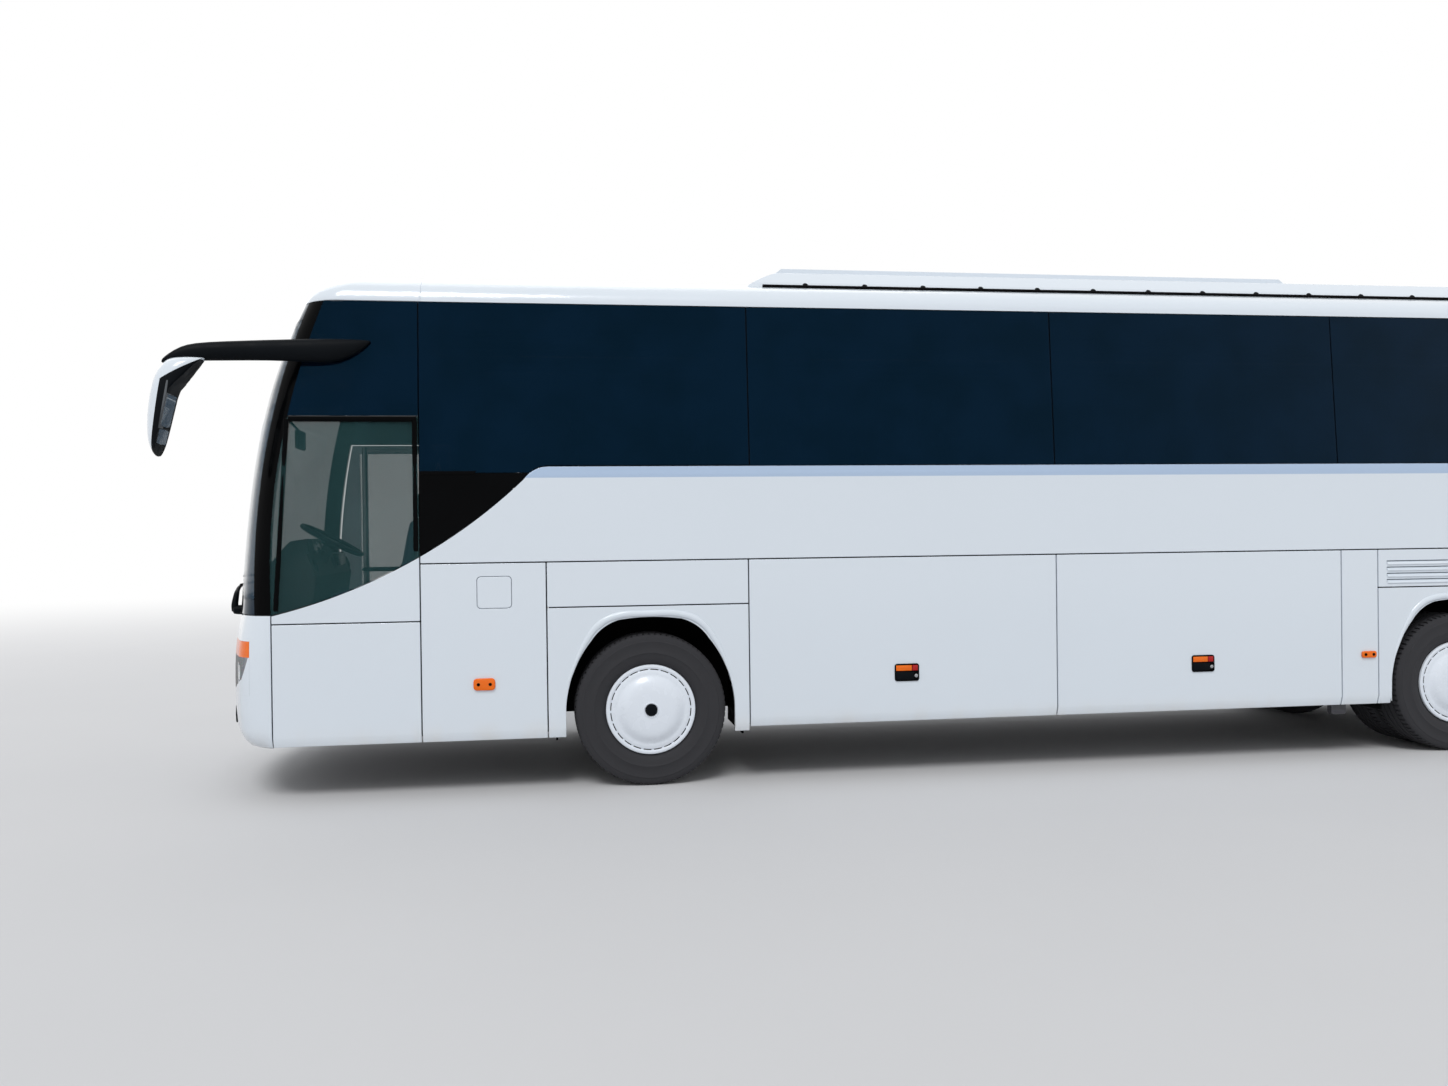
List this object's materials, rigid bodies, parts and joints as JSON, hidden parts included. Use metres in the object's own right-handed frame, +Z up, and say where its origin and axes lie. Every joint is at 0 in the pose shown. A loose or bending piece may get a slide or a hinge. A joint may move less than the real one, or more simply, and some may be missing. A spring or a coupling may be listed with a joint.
{
  "type": "touring coach",
  "caption": "High-deck touring coach with hollow cabin and luggage bays, steered front wheels, twin rear wheels, swinging entry doors and lifting luggage doors.",
  "frame": {"origin": "on the road under the middle of the overall box", "axes": "+X towards the rear, +Y towards the right side, +Z up"},
  "size_m": [12.4297, 3.06, 3.6999],
  "materials": {
    "white_paint": "gloss",
    "lamp_lens": "gloss",
    "tail_lens": "gloss",
    "dark_glass": "gloss",
    "screen_glass": "gloss",
    "clear_glass": "gloss",
    "black_trim": "gloss",
    "black_plastic": "satin",
    "inner_liner": "matt",
    "floor_covering": "matt",
    "frame_paint": "satin",
    "engine_iron": "matt",
    "axle_iron": "matt",
    "door_steel": "satin",
    "wheel_silver": "satin",
    "tyre_rubber": "matt",
    "dash_plastic": "matt",
    "seat_fabric": "matt"
  },
  "bodies": {
    "coach_body": {"front_mask": "white_paint", "front_lamps": "lamp_lens", "windscreen": "screen_glass", "window_surrounds": "black_trim", "roof_front_cap": "white_paint", "roof_panel": "white_paint", "roof_fairing": "white_paint", "rear_panel": "white_paint", "tail_lamps": "tail_lens", "cabin_glass": "dark_glass", "driver_window": "clear_glass", "side_panels_left": "white_paint", "side_panels_right": "white_paint", "wheel_arches": "inner_liner", "cabin_floor": "floor_covering", "underframe": "frame_paint", "engine_block": "engine_iron", "front_axle": "axle_iron", "rear_axle": "axle_iron", "dashboard": "dash_plastic", "seats": "seat_fabric", "mirrors": "black_plastic"},
    "knuckle_left": {"knuckle_left": "axle_iron"},
    "knuckle_right": {"knuckle_right": "axle_iron"},
    "wheel_front_left": {"tyre_front_left": "tyre_rubber", "rim_front_left": "wheel_silver"},
    "wheel_front_right": {"tyre_front_right": "tyre_rubber", "rim_front_right": "wheel_silver"},
    "wheel_rear_left": {"tyre_rear_left": "tyre_rubber", "rim_rear_left": "wheel_silver"},
    "wheel_rear_right": {"tyre_rear_right": "tyre_rubber", "rim_rear_right": "wheel_silver"},
    "steering_wheel": {"steering_wheel": "black_plastic"},
    "luggage_door_left_front": {"luggage_door_left_front": "white_paint"},
    "luggage_door_left_rear": {"luggage_door_left_rear": "white_paint"},
    "luggage_door_right_front": {"luggage_door_right_front": "white_paint"},
    "luggage_door_right_rear": {"luggage_door_right_rear": "white_paint"},
    "engine_lid": {"engine_lid": "white_paint"},
    "fuel_flap": {"fuel_flap": "white_paint"},
    "entry_arm_front": {"entry_arm_front": "door_steel"},
    "entry_door_front": {"entry_door_front": "white_paint", "entry_glass_front": "dark_glass"},
    "entry_arm_middle": {"entry_arm_middle": "door_steel"},
    "entry_door_middle": {"entry_door_middle": "white_paint", "entry_glass_middle": "dark_glass"}
  },
  "joints": [
    {"name": "steer_left", "type": "hinge", "parent": "coach_body", "child": "knuckle_left", "pos_m": [-3.079, -0.96, 0.515], "axis": [0, 0, 1], "range_deg": [-42, 42]},
    {"name": "steer_right", "type": "hinge", "parent": "coach_body", "child": "knuckle_right", "pos_m": [-3.079, 0.96, 0.515], "axis": [0, 0, 1], "range_deg": [-42, 42]},
    {"name": "steering_wheel_turn", "type": "hinge", "parent": "coach_body", "child": "steering_wheel", "pos_m": [-5.249, -0.65, 1.69], "axis": [0.4695, 0, 0.8829], "range_deg": [-760, 760]},
    {"name": "wheel_front_left_spin", "type": "hinge", "parent": "knuckle_left", "child": "wheel_front_left", "pos_m": [-3.079, -1.098, 0.515], "axis": [0, 1, 0], "continuous": true},
    {"name": "wheel_front_right_spin", "type": "hinge", "parent": "knuckle_right", "child": "wheel_front_right", "pos_m": [-3.079, 1.098, 0.515], "axis": [0, 1, 0], "continuous": true},
    {"name": "wheel_rear_left_spin", "type": "hinge", "parent": "coach_body", "child": "wheel_rear_left", "pos_m": [3.001, -1.095, 0.515], "axis": [0, 1, 0], "continuous": true},
    {"name": "wheel_rear_right_spin", "type": "hinge", "parent": "coach_body", "child": "wheel_rear_right", "pos_m": [3.001, 1.095, 0.515], "axis": [0, 1, 0], "continuous": true},
    {"name": "luggage_door_left_front_lift", "type": "hinge", "parent": "coach_body", "child": "luggage_door_left_front", "pos_m": [-1.29625, -1.275, 1.522], "axis": [-1, 0, 0], "range_deg": [0, 95]},
    {"name": "luggage_door_left_rear_lift", "type": "hinge", "parent": "coach_body", "child": "luggage_door_left_rear", "pos_m": [0.91925, -1.275, 1.522], "axis": [-1, 0, 0], "range_deg": [0, 95]},
    {"name": "luggage_door_right_front_lift", "type": "hinge", "parent": "coach_body", "child": "luggage_door_right_front", "pos_m": [-1.29625, 1.275, 1.522], "axis": [1, 0, 0], "range_deg": [0, 95]},
    {"name": "luggage_door_right_rear_lift", "type": "hinge", "parent": "coach_body", "child": "luggage_door_right_rear", "pos_m": [0.47125, 1.275, 1.522], "axis": [1, 0, 0], "range_deg": [0, 95]},
    {"name": "engine_lid_lift", "type": "hinge", "parent": "coach_body", "child": "engine_lid", "pos_m": [6.211, 0, 1.752], "axis": [0, -1, 0], "range_deg": [0, 95]},
    {"name": "fuel_flap_swing", "type": "hinge", "parent": "coach_body", "child": "fuel_flap", "pos_m": [-4.221, -1.275, 1.33], "axis": [0, 0, -1], "range_deg": [0, 110]},
    {"name": "entry_arm_front_swing", "type": "hinge", "parent": "coach_body", "child": "entry_arm_front", "pos_m": [-5.293, 1.15, 1], "axis": [0, 0, 1], "range_deg": [0, 125]},
    {"name": "entry_door_front_turn", "type": "hinge", "parent": "entry_arm_front", "child": "entry_door_front", "pos_m": [-4.878, 1.15, 1], "axis": [0, 0, 1], "range_deg": [-125, 0]},
    {"name": "entry_arm_middle_swing", "type": "hinge", "parent": "coach_body", "child": "entry_arm_middle", "pos_m": [1.837, 1.15, 1], "axis": [0, 0, -1], "range_deg": [0, 125]},
    {"name": "entry_door_middle_turn", "type": "hinge", "parent": "entry_arm_middle", "child": "entry_door_middle", "pos_m": [1.422, 1.15, 1], "axis": [0, 0, -1], "range_deg": [-125, 0]}
  ],
  "couplings": [
    {"joint": "steer_right", "follows": "steer_left", "ratio": 1},
    {"joint": "steering_wheel_turn", "follows": "steer_left", "ratio": 18},
    {"joint": "entry_door_front_turn", "follows": "entry_arm_front_swing", "ratio": -1},
    {"joint": "entry_door_middle_turn", "follows": "entry_arm_middle_swing", "ratio": -1}
  ]
}
